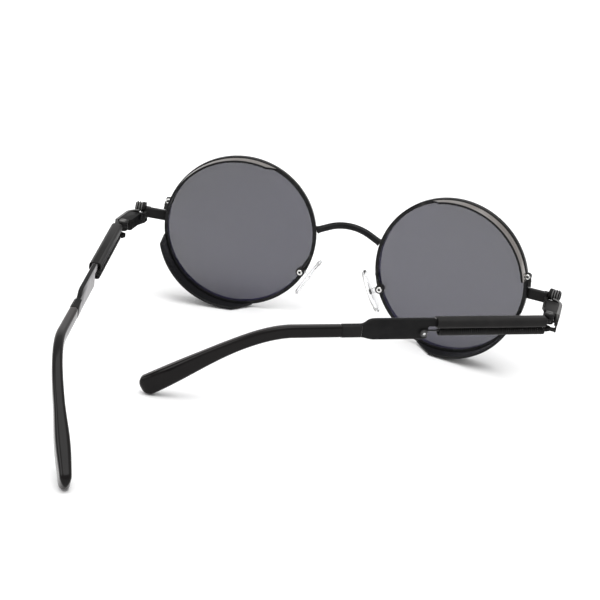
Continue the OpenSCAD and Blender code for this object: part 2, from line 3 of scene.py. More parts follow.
import bmesh
import bpy
import numpy as np
from mathutils import Matrix, Vector


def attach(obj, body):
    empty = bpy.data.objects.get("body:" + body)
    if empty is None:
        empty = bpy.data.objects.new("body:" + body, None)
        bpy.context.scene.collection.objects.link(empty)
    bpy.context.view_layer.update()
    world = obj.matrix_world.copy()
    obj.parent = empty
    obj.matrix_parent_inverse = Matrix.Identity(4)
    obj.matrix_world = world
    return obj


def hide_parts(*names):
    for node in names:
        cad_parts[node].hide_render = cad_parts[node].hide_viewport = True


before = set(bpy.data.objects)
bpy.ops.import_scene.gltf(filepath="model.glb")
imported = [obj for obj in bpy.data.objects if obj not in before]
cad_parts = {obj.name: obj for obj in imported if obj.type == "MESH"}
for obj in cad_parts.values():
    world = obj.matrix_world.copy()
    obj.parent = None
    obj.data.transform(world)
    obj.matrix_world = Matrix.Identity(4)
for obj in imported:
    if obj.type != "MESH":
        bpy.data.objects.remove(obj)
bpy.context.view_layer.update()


# The rims: two bands of black-plated metal, each grooved inside to hold its
# lens. Each is slit on the temple side, where two small ears lap over each
# other and a screw closes them.
lens_apart, wrap, front_lean = 69.4, 8.7, 2.6
lip_r, groove_r, rim_r, half_rim = 23.6, 24.0, 24.8, 1.0
lower_shield_r = 25.0
slit_angle, half_slit = 12.2, 0.3
ear_start, ear_end = 7.5, 17
rim_screw_angle, rim_screw_r, boss_depth = 15, rim_r + 0.15, 0.6


def moved(x, y, z):
    return Matrix.Translation((x, y, z))


def turned_about(axis, degrees):
    return Matrix.Rotation(math.radians(degrees), 4, axis)


lean = math.radians(front_lean)
eye_height = lower_shield_r * math.cos(lean) - half_rim * math.sin(lean)
front = moved(0, 0, eye_height) @ turned_about("X", -front_lean)
ring = front @ moved(lens_apart / 2, 0, 0) @ turned_about("Z", -wrap) @ turned_about("X", 90)
other_side = Matrix.Scale(-1, 4, (1, 0, 0))
straight = Matrix.Identity(4)


class Form:
    """The points and faces of one piece, in millimetres."""

    def __init__(self):
        self.points, self.faces, self.marks = [], [], []

    def add(self, points, faces, place=straight, mark=0):
        """Takes in points and faces; a mark from 0 to 1 is kept for the finish."""
        start = len(self.points)
        self.marks += np.broadcast_to(mark, len(points)).tolist()
        mat = np.array(place)
        pts = np.asarray(points, float) @ mat[:3, :3].T + mat[:3, 3]
        if np.linalg.det(mat[:3, :3]) < 0:
            faces = [list(f)[::-1] for f in faces]
        self.points += pts.tolist()
        self.faces += [[i + start for i in f] for f in faces]
        return self

    def skin(self, rings, place=straight, mark=0):
        """Skins rings of points that follow each other along a piece, and caps both ends."""
        rings = [np.asarray(r, float) for r in rings]
        n, m = len(rings), len(rings[0])
        faces = []
        for i in range(n - 1):
            for k in range(m):
                q = (k + 1) % m
                faces.append([i * m + k, i * m + q, (i + 1) * m + q, (i + 1) * m + k])
        faces.append(list(range(m))[::-1])
        faces.append([(n - 1) * m + k for k in range(m)])
        points = np.concatenate(rings)
        volume = sum(np.dot(points[f[0]], np.cross(points[f[i]], points[f[i + 1]]))
                     for f in faces for i in range(1, len(f) - 1))
        if volume < 0:
            faces = [f[::-1] for f in faces]
        return self.add(points, faces, place, np.tile(np.broadcast_to(mark, m), n))

    def band(self, profile, start, end, place=straight, step=2.5, mark=0):
        """Turns a closed outline of (radius, height) points round Z between two angles."""
        count = max(2, int(abs(end - start) / step) + 1)
        rings = []
        for a in np.radians(np.linspace(start, end, count)):
            shape = profile(math.degrees(a)) if callable(profile) else profile
            rings.append([(r * math.cos(a), r * math.sin(a), z) for r, z in shape])
        return self.skin(rings, place, mark=mark)

    def lathe(self, profile, place=straight, steps=48, mark=0):
        """Turns an open outline of (radius, height) points all the way round Z."""
        points, faces, rows = [], [], []
        for r, z in profile:
            if r < 1e-6:
                rows.append([len(points)] * steps)
                points.append((0, 0, z))
            else:
                rows.append([len(points) + k for k in range(steps)])
                points += [(r * math.cos(a), r * math.sin(a), z)
                           for a in np.linspace(0, 2 * math.pi, steps, endpoint=False)]
        for low, high in zip(rows, rows[1:]):
            for k in range(steps):
                q = (k + 1) % steps
                face = []
                for i in (low[k], low[q], high[q], high[k]):
                    if i not in face:
                        face.append(i)
                if len(face) > 2:
                    faces.append(face)
        return self.add(points, faces, place, mark)

    def slab(self, outline, low, high, edge, place=straight, segments=3):
        """A flat sheet cut to an outline, its edges rounded."""
        bm = bmesh.new()
        base = [bm.verts.new((x, y, low)) for x, y in outline]
        face = bm.faces.new(base)
        top = bmesh.ops.extrude_face_region(bm, geom=[face])["geom"]
        bmesh.ops.translate(bm, verts=[g for g in top if isinstance(g, bmesh.types.BMVert)],
                            vec=(0, 0, high - low))
        bmesh.ops.recalc_face_normals(bm, faces=bm.faces)
        sharp = [e for e in bm.edges if e.calc_face_angle(0) > math.radians(35)]
        bmesh.ops.bevel(bm, geom=sharp, offset=edge, offset_type="OFFSET", segments=segments,
                        profile=0.5, affect="EDGES", clamp_overlap=True)
        bm.verts.index_update()
        points = [tuple(v.co) for v in bm.verts]
        faces = [[v.index for v in f.verts] for f in bm.faces]
        bm.free()
        return self.add(points, faces, place)

    def rod(self, path, radius, sides=12, side=(1, 0, 0), place=straight):
        """Round wire along a path; radius may change from point to point."""
        path = np.asarray(path, float)
        along = np.gradient(path, axis=0)
        along /= np.linalg.norm(along, axis=1)[:, None]
        radius = np.broadcast_to(radius, len(path))
        side = np.asarray(side, float)
        rings = []
        for p, t, r in zip(path, along, radius):
            side = side - side.dot(t) * t
            side /= np.linalg.norm(side)
            up = np.cross(t, side)
            rings.append([p + r * (math.cos(a) * side + math.sin(a) * up)
                          for a in np.linspace(0, 2 * math.pi, sides, endpoint=False)])
        return self.skin(rings, place)

    def piece(self, name, body, slot, finish, place=straight, smooth=38):
        """Makes the Blender object, in metres, and hangs it on its CAD body."""
        mat = np.array(place)
        pts = (np.asarray(self.points) @ mat[:3, :3].T + mat[:3, 3]) / 1000
        faces = self.faces
        if np.linalg.det(mat[:3, :3]) < 0:
            faces = [f[::-1] for f in faces]
        mesh = bpy.data.meshes.new(name)
        mesh.from_pydata(pts.tolist(), [], faces)
        mesh.attributes.new("mark", "FLOAT", "POINT").data.foreach_set("value", self.marks)
        mesh.polygons.foreach_set("use_smooth", [True] * len(mesh.polygons))
        mesh.set_sharp_from_angle(angle=math.radians(smooth))
        mesh.update()
        mesh.materials.append(finish.material)
        obj = bpy.data.objects.new(name, mesh)
        bpy.context.scene.collection.objects.link(obj)
        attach(obj, body)
        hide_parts(name.replace("_form", ""))

    def pair(self, name, slot, finish, smooth=38):
        """The piece on the wearer's right and its mirror image on the left."""
        self.piece("right_" + name + "_form", "front", slot, finish, smooth=smooth)
        self.piece("left_" + name + "_form", "front", slot, finish, other_side, smooth=smooth)


class Value:
    """A shader socket that can be used in sums."""

    def __init__(self, finish, socket):
        self.finish, self.socket = finish, socket

    def maths(self, operation, *values):
        return self.finish.node("ShaderNodeMath", {"operation": operation}, dict(enumerate(values)))

    def __add__(self, other):
        return self.maths("ADD", self, other)

    __radd__ = __add__

    def __mul__(self, other):
        return self.maths("MULTIPLY", self, other)

    __rmul__ = __mul__

    def within(self, low, high):
        """0 below low, 1 above high, and even in between."""
        return self.finish.node("ShaderNodeMapRange", {"clamp": True},
                                {"Value": self, "From Min": low, "From Max": high})


class Finish:
    """A procedural material with one Principled surface."""

    def __init__(self, name):
        self.material = bpy.data.materials.new(name)
        self.material.use_nodes = True
        self.tree = self.material.node_tree
        self.shader = self.tree.nodes["Principled BSDF"]

    def put(self, socket, value):
        if isinstance(value, Value):
            self.tree.links.new(value.socket, socket)
        elif isinstance(value, tuple) and socket.type == "RGBA":
            socket.default_value = (*value, 1)
        else:
            socket.default_value = value

    def node(self, kind, settings=None, sockets=None, output=0):
        """Any node: its settings first, then the values or links of its sockets."""
        made = self.tree.nodes.new(kind)
        for key, value in (settings or {}).items():
            setattr(made, key, value)
        for key, value in (sockets or {}).items():
            self.put(made.inputs[key], value)
        return Value(self, made.outputs[output])

    def facing(self, blend=0.5):
        """0 where a face looks at the viewer, 1 where it is seen edge on."""
        return self.node("ShaderNodeLayerWeight", {}, {"Blend": blend}, output="Facing")

    def marked(self):
        """The mark that the mesh keeps at each of its points."""
        return self.node("ShaderNodeAttribute", {"attribute_name": "mark"}, output="Fac")

    def noise(self, scale, detail=3.0, rough=0.5, stretch=None):
        where = self.node("ShaderNodeTexCoord", output="Object")
        if stretch:
            where = self.node("ShaderNodeMapping", {}, {"Vector": where, "Scale": stretch})
        return self.node("ShaderNodeTexNoise", {"noise_dimensions": "3D"},
                         {"Vector": where, "Scale": scale, "Detail": detail, "Roughness": rough})

    def mix(self, mask, first, second):
        """The first colour where the mask is 0, the second where it is 1."""
        return self.node("ShaderNodeMix", {"data_type": "RGBA"}, {0: mask, 6: first, 7: second}, 2)

    def bump(self, height, strength, distance):
        return self.node("ShaderNodeBump", {}, {"Height": height, "Strength": strength,
                                                "Distance": distance})

    def surface(self, **sockets):
        for key, value in sockets.items():
            self.put(self.shader.inputs[key.replace("_", " ")], value)
        return self


def black_plate(name, dark, light, rough, grain, shine=0.08):
    """Satin black plating: faint clouds, fine grain, rubbed edges, and painted highlights where a
    piece marks its ridges.
    """
    made = Finish(name)
    cloud = made.noise(260, 4, 0.6)
    fine = made.noise(5200, 2, 0.5)
    rubbed = made.node("ShaderNodeNewGeometry", output="Pointiness").within(0.52, 0.62)
    colour = made.mix(cloud.within(0.35, 0.7), dark, light)
    colour = made.mix(rubbed * 0.35, colour, (0.06, 0.058, 0.056))
    # Marked points turn light grey: painted highlights on the knob rings and on the top edge of the
    # end pieces' plates.
    made.colour = made.mix(made.marked(), colour, (0.20, 0.198, 0.195))
    return made.surface(
        Base_Color=made.colour,
        Roughness=rough + 0.10 * cloud.within(0.3, 0.75),
        Metallic=0.0,
        Specular_IOR_Level=shine,
        Normal=made.bump(fine, grain, 0.00002),
    )


black_wire = black_plate("black plated wire", (0.0055, 0.0055, 0.006), (0.010, 0.010, 0.0105),
                         0.24, 0.12, 0.12)

rim_side = [(lip_r, half_rim - 0.1), (lip_r + 0.03, half_rim - 0.03), (lip_r + 0.1, half_rim),
            (rim_r - 0.22, half_rim), (rim_r - 0.1, half_rim - 0.04),
            (rim_r - 0.03, half_rim - 0.13), (rim_r, half_rim - 0.26)]
rim_profile = rim_side + [(r, -z) for r, z in rim_side[::-1]]
rim_profile += [(lip_r, -0.42), (groove_r, 0), (lip_r, 0.42)]
rims = Form()
rims.band(rim_profile[::-1], slit_angle + half_slit, slit_angle + 360 - half_slit, ring, 1.5)
rims.lathe([(0.44, -boss_depth), (0.9, -boss_depth), (1.0, 0.1 - boss_depth), (1.0, 0.05),
            (0.9, 0.15), (0.44, 0.15)],
           ring @ turned_about("Z", rim_screw_angle) @ moved(rim_screw_r, 0, 0), 32)
ear = [(rim_r + 0.1, 0.2), (rim_r + 1.0, 0.2), (rim_r + 1.1, 0.3), (rim_r + 1.1, 0.9),
       (rim_r + 1.0, 1.0), (rim_r + 0.1, 1.0)]
rims.band(ear, slit_angle - 1.4, ear_end, ring, 1)
ear_foot = [(rim_r - 0.3, 0.28), (rim_r + 1.0, 0.28), (rim_r + 1.0, 0.7), (rim_r - 0.3, 0.7)]
rims.band(ear_foot, ear_start, slit_angle - 0.8, ring, 1)
rims.pair("rim", "black_metal", black_wire)


# The lenses: tinted plastic, moulded with a gentle dome and bevelled at the
# edge so that they snap into the rim grooves.
lens_curve, lens_half, bevel_half = 130, 0.9, 0.38
body_r = lip_r - 0.02
smoke = Finish("smoke lens")
smoke.surface(
    Base_Color=smoke.mix(smoke.noise(30, 2).within(0.3, 0.7),
                         (0.020, 0.018, 0.045), (0.022, 0.020, 0.048)),
    Roughness=0.05 + 0.02 * smoke.noise(900, 2),
    Alpha=0.667 + 0.01 * smoke.noise(25, 1),
    Specular_IOR_Level=0.25,
    IOR=1.45,
)


def face_z(r, side):
    """The height of the front (-1) or back (1) face of the dome, at a radius."""
    return (math.sqrt(lens_curve ** 2 - body_r ** 2) + side * lens_half
            - math.sqrt(lens_curve ** 2 - r ** 2))


lens_radii = np.linspace(0, body_r, 25)
lens_outline = [(r, face_z(r, -1)) for r in lens_radii]
lens_outline += [(body_r, -bevel_half), (groove_r - 0.03, 0), (body_r, bevel_half)]
lens_outline += [(r, face_z(r, 1)) for r in lens_radii[::-1]]
lens = Form().lathe(lens_outline, ring, 128)
lens.pair("lens", "smoke_lens", smoke)


# The bridge: a round black-plated rod bent to an arch and soldered to the
# outsides of both rims, a little thicker where the solder has run.
bridge_r, bridge_forward, leg = 1.1, 0.55, 4.0
arc_radius, arc_top, arc_half = 15.5, 7.75, math.radians(26)
solder_from, solder_run, solder_thick = 9.2, 1.3, 0.2
bridge_y = rim_r * math.sin(math.radians(wrap)) + bridge_forward
arc_middle = arc_top - arc_radius
path = [(arc_radius * math.sin(a), bridge_y, arc_middle + arc_radius * math.cos(a))
        for a in np.linspace(-arc_half, arc_half, 33)]
for t in np.linspace(0.5, leg, 8):
    path.append((arc_radius * math.sin(arc_half) + t * math.cos(arc_half), bridge_y,
                 arc_middle + arc_radius * math.cos(arc_half) - t * math.sin(arc_half)))
    path.insert(0, (-path[-1][0], bridge_y, path[-1][2]))
from_middle = np.abs(np.array(path)[:, 0])
thick = bridge_r + solder_thick * np.clip((from_middle - solder_from) / solder_run, 0, 1) ** 2
bridge = Form().rod(path, thick, 28, (0, 1, 0), front)
bridge.piece("bridge_form", "front", "black_metal", black_wire)


# The side shields: thin curved metal walls soldered behind each rim to keep
# light out, black inside and worn to the nickel outside. The upper one is
# shallow, the lower one deeper and cut on a slant.
upper_r, upper_wall, upper_depth = rim_r - 0.3, 0.7, 4.0
upper_start, upper_end, upper_taper = 13, 113, 8
lower_wall, lower_depth = 0.8, 5.2
lower_start, lower_end, nose_taper, temple_taper = -106, -11, 14, 3
lower_slant = math.tan(math.radians(4.6))
taper_rest, thinnest, edge_round = 0.05, 0.02, 0.24
shield_finish = Finish("black nickel shield")
cloud = shield_finish.noise(140, 3, 0.6)
outside = shield_finish.marked()
shield_finish.surface(
    Base_Color=shield_finish.mix(
        outside, (0.007, 0.007, 0.0075),
        shield_finish.mix(cloud.within(0.35, 0.65), (0.30, 0.27, 0.25), (0.42, 0.40, 0.385))),
    Roughness=0.16 + 0.10 * cloud,
    Metallic=outside * 0.96,
    Specular_IOR_Level=0.15,
)
outer_marks = [0] * 10 + [0.6, 1, 1]


def wall(outer, thickness, depth):
    """The cut through a shield: a thin wall with a rounded back edge."""
    depth = max(depth, thinnest)
    back, inner = half_rim + depth, outer - thickness
    r = min(edge_round, depth / 2)
    bend = np.radians((0, 25, 50, 75, 90))
    shape = [(outer, half_rim), (outer, half_rim + thinnest)]
    shape += [(outer - r + r * math.cos(a), back - r + r * math.sin(a)) for a in bend]
    shape += [(inner + r - r * math.sin(a), back - r + r * math.cos(a)) for a in bend]
    shape += [(inner, half_rim)]
    return shape[::-1]


def upper_shape(angle):
    return wall(upper_r, upper_wall, upper_depth * min(1, (upper_end - angle) / upper_taper))


def lower_shape(angle):
    full = lower_depth + lower_slant * lower_shield_r * math.cos(math.radians(angle))
    share = min(1, (angle - lower_start) / nose_taper, (lower_end - angle) / temple_taper)
    return wall(lower_shield_r, lower_wall, full * share)


upper_full = upper_end - upper_taper
upper = Form().band(upper_shape, upper_start, upper_full, ring, 2, outer_marks)
upper.band(upper_shape, upper_full, upper_end - taper_rest, ring, 1, outer_marks)
upper.pair("upper_shield", "black_metal", shield_finish)
full_from, full_to = lower_start + nose_taper, lower_end - temple_taper
lower = Form().band(lower_shape, lower_start + taper_rest, full_from, ring, 1)
lower.band(lower_shape, full_from, full_to, ring, 2)
lower.band(lower_shape, full_to, lower_end - taper_rest, ring, 0.5)
lower.pair("lower_shield", "black_metal", shield_finish)


# The rim screws: turned steel with bright pan heads, the drive recess painted near black as painted
# shade. Each runs from behind through the ears of its rim and closes the slit.
bright = Finish("bright steel")
brushed = bright.noise(3000, 2)
recess_shade_mask = bright.marked()
# The marked recess is painted near black: painted shade.
bright.surface(
    Base_Color=bright.mix(
        recess_shade_mask, bright.mix(brushed.within(0.3, 0.7), (0.62, 0.61, 0.59), (0.78, 0.78, 0.77)),
        (0.012, 0.012, 0.012)),
    Roughness=0.16 + 0.12 * brushed + 0.3 * recess_shade_mask,
    Metallic=1.0,
    Normal=bright.bump(brushed, 0.1, 0.00002),
)


def screw(form, place, shank, length, head, height, recess=0.4):
    """A plain shank from 0 up to length, then a domed head with a round recess."""
    r, top = head / 2, length + height
    form.lathe([(0, 0), (shank / 2, 0), (shank / 2, length), (r - 0.06, length), (r, length + 0.06),
                (r, length + height * 0.5), (r - 0.08, length + height * 0.82), (r - 0.22, top),
                (recess + 0.04, top), (recess, top - 0.04)], place, 40)
    # The recess is marked for its finish: painted shade on bright steel, a painted highlight on
    # blackened steel.
    form.lathe([(recess, top - 0.04), (recess, length + height * 0.45),
                (0, length + height * 0.4)], place, 40, mark=1)
    return form


rim_screw_place = ring @ turned_about("Z", rim_screw_angle) @ moved(rim_screw_r, 0, -boss_depth)
rim_screws = screw(Form(), rim_screw_place,
                   shank=0.8, length=half_rim + boss_depth, head=1.7, height=0.6)
rim_screws.pair("rim_screw", "bright_steel", bright)


# The end pieces: a flat bar soldered to the rim runs back to a cast black
# block with a low toe and a curved outer plate. They carry two hinge
# knuckles and, on a thin arm, the eye that the spring hooks into.
hinge_out, hinge_back, hinge_up = 8.3, 15.4, 1.32
side_x = lens_apart / 2 + rim_r * math.cos(math.radians(wrap))
side_y = -rim_r * math.sin(math.radians(wrap))
at_hinge = moved(side_x + hinge_out, side_y - hinge_back, eye_height + hinge_up)
stack_top, stack_high, stack_low, stack_bottom = 1.05, 0.1, -0.85, -1.8
hinge_play = 0.05
eye_top, eye_bottom, eye_r, eye_hole = -3.0, -4.2, 1.1, 0.4
knuckle_r, knuckle_hole = 1.55, 0.72
bar_half_high, bar_half_thick, bar_sunk = 1.6, 0.9, 0.45
block_top, block_bottom, toe_top = 1.1, -2.5, -0.85
plate_face, plate_bend, plate_turn = 2.9, 8.6, 4.5
cast = black_plate("cast black metal", (0.004, 0.004, 0.0045), (0.009, 0.0088, 0.0088),
                   0.3, 0.25, 0.06)


def knuckle(form, low, high, place, r=knuckle_r, hole=knuckle_hole):
    """A hinge barrel with small rounded edges and its bore."""
    form.lathe([(hole, low), (r - 0.15, low), (r - 0.04, low + 0.05), (r, low + 0.16),
                (r, high - 0.16), (r - 0.04, high - 0.05), (r - 0.15, high), (hole, high),
                (hole, low)], place, 40)


foot = Vector((side_x + 0.15, side_y + 0.85, eye_height + 1.1))
far = Vector((side_x + 6.4, side_y - 2.1, eye_height + 2.0))
run = far - foot
rise = math.degrees(math.atan2(run.z, math.hypot(run.x, run.y)))
turn = math.degrees(math.atan2(run.y, run.x))
bar_place = (moved(*foot) @ turned_about("Z", turn) @ turned_about("Y", -rise)
             @ turned_about("X", 90))
end = Form()
end.slab([(-bar_sunk, -bar_half_high), (run.length, -bar_half_high),
          (run.length, bar_half_high), (-bar_sunk, bar_half_high)],
         -bar_half_thick, bar_half_thick, 0.3, bar_place)
block = [(-2.9, 13.2), (-1.95, 13.2), (-1.75, 10.4), (-1.35, 10), (2.0, 10), (2.0, 2.2),
         (-1.6, 2.2), (-1.9, 2.85), (-1.9, 9.4), (-2.9, 10.9)]
end.slab(block[::-1], block_bottom, block_top, 0.22, at_hinge)
toe = [(-2.9, 13.55), (-0.9, 14.25), (1.1, 11.85), (2, 9.65), (2, 8), (-1.9, 8), (-2.9, 11.5)]
end.slab(toe[::-1], block_bottom, toe_top, 0.2, at_hinge)
sideways = Matrix(((0, 0, 1, 0), (1, 0, 0, 0), (0, 1, 0, 0), (0, 0, 0, 1)))
shoulder = [(9.6, 1.06), (13.5, 0.08), (13.5, -1.2), (9.6, -1.2)]
end.slab(shoulder, -2.4, 0.9, 0.12, at_hinge @ sideways)
track = [((plate_face, y), (1, 0)) for y in (0.6, 0.75, 3, 6, plate_bend)]
track += [((plate_face - plate_turn + plate_turn * math.cos(a),
            plate_bend + plate_turn * math.sin(a)), (math.cos(a), math.sin(a)))
          for a in np.radians(np.arange(4, 71, 6))]
plate_edge = [(-1, 1.1), (-0.9, 1.22), (-0.7, 1.25), (-0.42, 1.25), (-0.24, 1.21), (-0.1, 1.11),
              (-0.02, 0.96), (0, 0.8), (0, -2.3), (-0.04, -2.46), (-0.16, -2.57),
              (-0.32, -2.6), (-0.85, -2.6), (-1, -2.45)]
# The top edge of the curved plate is marked to be painted light grey: a painted highlight.
painted_top_highlight = [0, 0.7, 0.7, 0.7, 0.6, 0.4, 0.1] + [0] * 7
end.skin([[(x + d * nx, y + d * ny, z) for d, z in plate_edge] for (x, y), (nx, ny) in track],
         at_hinge, painted_top_highlight)
for low, high in ((stack_high, stack_top), (stack_bottom, stack_low - hinge_play)):
    knuckle(end, low, high, at_hinge)
    end.slab([(-1.2, 0.9), (1.95, 0.9), (1.95, 2.6), (-1.2, 2.6)], low, high, 0.08, at_hinge)
end.slab([(2.3, -0.6), (2.8, -0.6), (2.8, 1.2), (2.3, 1.2)], eye_bottom, -0.95, 0.12, at_hinge)
end.slab([(0.75, -0.5), (2.7, -0.5), (2.7, 0.5), (0.75, 0.5)],
         eye_bottom + 0.1, eye_top - 0.1, 0.12, at_hinge)
knuckle(end, eye_bottom, eye_top, at_hinge, eye_r, eye_hole)
end.pair("end_piece", "black_metal", cast)


# The knobs: turned from black rod, a smooth collar and three rings, screwed
# into the end of each bar.
knob_place = (moved(side_x + 6.6, side_y - 0.85, eye_height + 2.9)
              @ turned_about("Z", -11.6) @ turned_about("Y", -2.5) @ turned_about("Y", 90))
first_ring, ring_pitch = 0.98, 0.77
# The rings are marked to be painted light grey, most on their crests: painted highlights.
ring_foot_highlight, ring_crest_highlight = 0.2, 0.55
knob = Form()
knob.lathe([(0, -1.5), (0.6, -1.5), (0.6, 0), (1.6, 0), (1.71, 0.04), (1.75, 0.14),
            (1.75, 0.84), (1.7, 0.92), (1.36, 0.95), (1.3, 0.95)], knob_place)
knob.lathe([(1.3, 0.95), (1.36, 0.95), (1.45, first_ring)], knob_place)
for k in range(3):
    z = first_ring + k * ring_pitch
    knob.lathe([(1.3, z), (1.42, z), (1.62, z + 0.05)], knob_place, mark=ring_foot_highlight)
    knob.lathe([(1.62, z + 0.05), (1.7, z + 0.12), (1.73, z + 0.25), (1.7, z + 0.38),
                (1.62, z + 0.45)], knob_place, mark=ring_crest_highlight)
    knob.lathe([(1.62, z + 0.45), (1.42, z + 0.52), (1.36, z + 0.6), (1.36, z + 0.7),
                (1.42, z + ring_pitch)], knob_place)
knob.lathe([(1.42, 3.29), (1.3, 3.3), (0.95, 3.3), (0.85, 3.12), (0, 3.1)], knob_place)
knob.pair("knob", "black_metal", cast)


# The nose pad arms: a bent black wire soldered behind each rim, with a slotted
# barrel at its end. A bright screw runs front to back through the barrel.
arm_wire_r, root_z, pad_z, pad_inboard = 0.45, -4.1, -9.45, 1.2
barrel_r, barrel_hole, barrel_long, barrel_behind = 1.45, 0.46, 2.2, 0.32
cheek, slot_wide = 0.5, 1.2
wrap_cos, wrap_sin = math.cos(math.radians(wrap)), math.sin(math.radians(wrap))
pad_reach = math.sqrt(rim_r ** 2 - pad_z ** 2)
pad_x = lens_apart / 2 - pad_reach * wrap_cos + pad_inboard
barrel_front = pad_reach * wrap_sin - half_rim * wrap_cos - barrel_behind
barrel_back = barrel_front - barrel_long
slot_front = barrel_front - cheek
slot_back = slot_front - slot_wide
pad_middle = (slot_front + slot_back) / 2
root_x = lens_apart / 2 - math.sqrt((lip_r + 0.6) ** 2 - root_z ** 2) * wrap_cos
to_back = front @ moved(pad_x, 0, pad_z) @ turned_about("X", 90)
arm = Form()
corner = np.array([(root_x, pad_middle + 1.7, root_z),
                   (root_x + 0.15, pad_middle + 0.4, root_z - 0.8),
                   (pad_x - 0.35, pad_middle, pad_z + 1.3)])
curve = [corner[0], corner[0] * 0.5 + corner[1] * 0.5, corner[0] * 0.12 + corner[1] * 0.88,
         corner[1] * 0.97 + corner[2] * 0.03, corner[1] * 0.88 + corner[2] * 0.12,
         corner[1] * 0.5 + corner[2] * 0.5, corner[2]]
arm.rod(curve, arm_wire_r, 16, place=front)
for low, high in ((-barrel_front, -slot_front), (-slot_back, -barrel_back)):
    arm.lathe([(barrel_hole, low), (barrel_r - 0.12, low), (barrel_r - 0.03, low + 0.04),
               (barrel_r, low + 0.13), (barrel_r, high - 0.13), (barrel_r - 0.03, high - 0.04),
               (barrel_r - 0.12, high), (barrel_hole, high), (barrel_hole, low)], to_back, 40)
arm.band([(1.05, -slot_front - 0.1), (barrel_r, -slot_front - 0.1), (barrel_r, -slot_back + 0.1),
          (1.05, -slot_back + 0.1)], -52, 100, to_back, 8)
arm.pair("pad_arm", "black_metal", black_wire)
pad_screws = screw(Form(), to_back @ moved(0, 0, -barrel_front + 0.1),
                   shank=0.9, length=barrel_front - barrel_back - 0.1, head=1.9, height=0.5)
pad_screws.pair("pad_screw", "bright_steel", bright)


# The nose pads: clear soft plastic, rounded all over, with a moulded tab
# that rocks on the barrel screw.
pad_long, pad_wide, pad_half = 7.25, 3.5, 0.7
pad_offset, pad_turn = 3.05, 62
tab = slot_front - slot_back - 0.12
clear = Finish("clear soft plastic")
haze = clear.noise(500, 2)
# Faces seen edge on turn grey: painted shade along the pads' edges.
clear.surface(
    Base_Color=clear.mix(clear.facing(0.35).within(0.3, 0.9),
                         clear.mix(haze.within(0.35, 0.7), (0.95, 0.955, 0.96), (0.97, 0.97, 0.975)),
                         (0.10, 0.10, 0.105)),
    Roughness=0.05 + 0.06 * haze,
    Transmission_Weight=1.0,
    IOR=1.42,
)
pad_place = front @ moved(pad_x, pad_middle, pad_z) @ turned_about("Y", pad_turn)
tab_place = pad_place @ turned_about("X", 90)
pads = Form()
outline = []
for a in np.linspace(0, 2 * math.pi, 65)[:-1]:
    u, v = math.cos(a), math.sin(a)
    outline.append((pad_long * math.copysign(abs(u) ** 0.86, u),
                    pad_wide * math.copysign(abs(v) ** 0.92, v)))
levels = [(-pad_half, 0.80), (-pad_half + 0.03, 0.88), (-pad_half + 0.16, 0.95), (-0.3, 0.99),
          (0, 1.0), (0.3, 0.985), (pad_half - 0.2, 0.93), (pad_half - 0.05, 0.84),
          (pad_half, 0.72)]
pads.skin([[(x * s, y * (1 - (1 - s) * 1.5), z - pad_offset) for x, y in outline]
           for z, s in levels], pad_place)
pads.lathe([(0.5, -tab / 2), (0.86, -tab / 2), (0.95, -tab / 2 + 0.1), (0.95, tab / 2 - 0.1),
            (0.86, tab / 2), (0.5, tab / 2), (0.5, -tab / 2)], tab_place, 32)
pads.slab([(-0.8, -pad_offset), (0.8, -pad_offset), (0.8, -0.75), (-0.8, -0.75)],
          -tab / 2, tab / 2, 0.12, tab_place, 2)
for side, place in (("right", straight), ("left", other_side)):
    pads.piece(side + "_nose_pad_form", side + "_pad", "clear_pad", clear, place, smooth=50)


# The hinge screws: black steel with a slotted head, painted lighter grey as a painted highlight.
# Each runs down through the three knuckles of its hinge.
pin_r, head_r, half_slot = 0.7, 1.1, 0.15
slot_floor, head_top = stack_top + 0.2, stack_top + 0.45
pin = Form()
pin.lathe([(0, stack_bottom), (pin_r - 0.06, stack_bottom), (pin_r, stack_bottom + 0.06),
           (pin_r, stack_top), (head_r - 0.06, stack_top), (head_r, stack_top + 0.06),
           (head_r, slot_floor), (0, slot_floor)], at_hinge, 40)
cut = math.asin(half_slot / head_r)
half_disc = [(head_r * math.cos(a), head_r * math.sin(a))
             for a in np.linspace(cut, math.pi - cut, 24)]
pin.slab(half_disc, slot_floor - 0.05, head_top, 0.07, at_hinge, 2)
pin.slab([(-x, -y) for x, y in half_disc], slot_floor - 0.05, head_top, 0.07, at_hinge, 2)
screw_highlight_paint = black_plate("black screw with painted highlight", (0.05, 0.05, 0.05), (0.14, 0.138, 0.135), 0.3, 0.2, 0.3)
pin.pair("hinge_screw", "black_metal", screw_highlight_paint)


# The temples: each is cut from flat sheet metal and blackened, narrow over
# the spring and wide behind it, with a hinge knuckle in front and a thick
# neck for the tip.
right_fold, left_fold = 57.7, 13.1
strip_out, half_plate = 1.5, 0.6
strip_start, step_from, step_to = 1.75, 36.3, 36.6
recess_end, wide_end, neck_start, temple_straight = 38.4, 55, 58, 64.5
strip_top, low_top, strip_bottom, plate_bottom = 0.75, 0.5, -1.75, -5.55
neck_z, neck_half, neck_half_thick = -2.84, 1.95, 1.15
knuckle_low, knuckle_high = stack_low, stack_high - hinge_play
on_strip = moved(strip_out, 0, 0)
right_arm = at_hinge @ turned_about("Z", -right_fold)
left_arm = other_side @ at_hinge @ turned_about("Z", -left_fold)


def arms(form, name, slot, finish, smooth=38):
    """The same temple piece on both sides, each at its own fold."""
    form.piece("right_" + name + "_form", "right_arm", slot, finish, right_arm, smooth=smooth)
    form.piece("left_" + name + "_form", "left_arm", slot, finish, left_arm, smooth=smooth)


sheet = black_plate("matt black sheet", (0.008, 0.008, 0.0085), (0.012, 0.0118, 0.0118),
                    0.42, 0.18, 0.06)
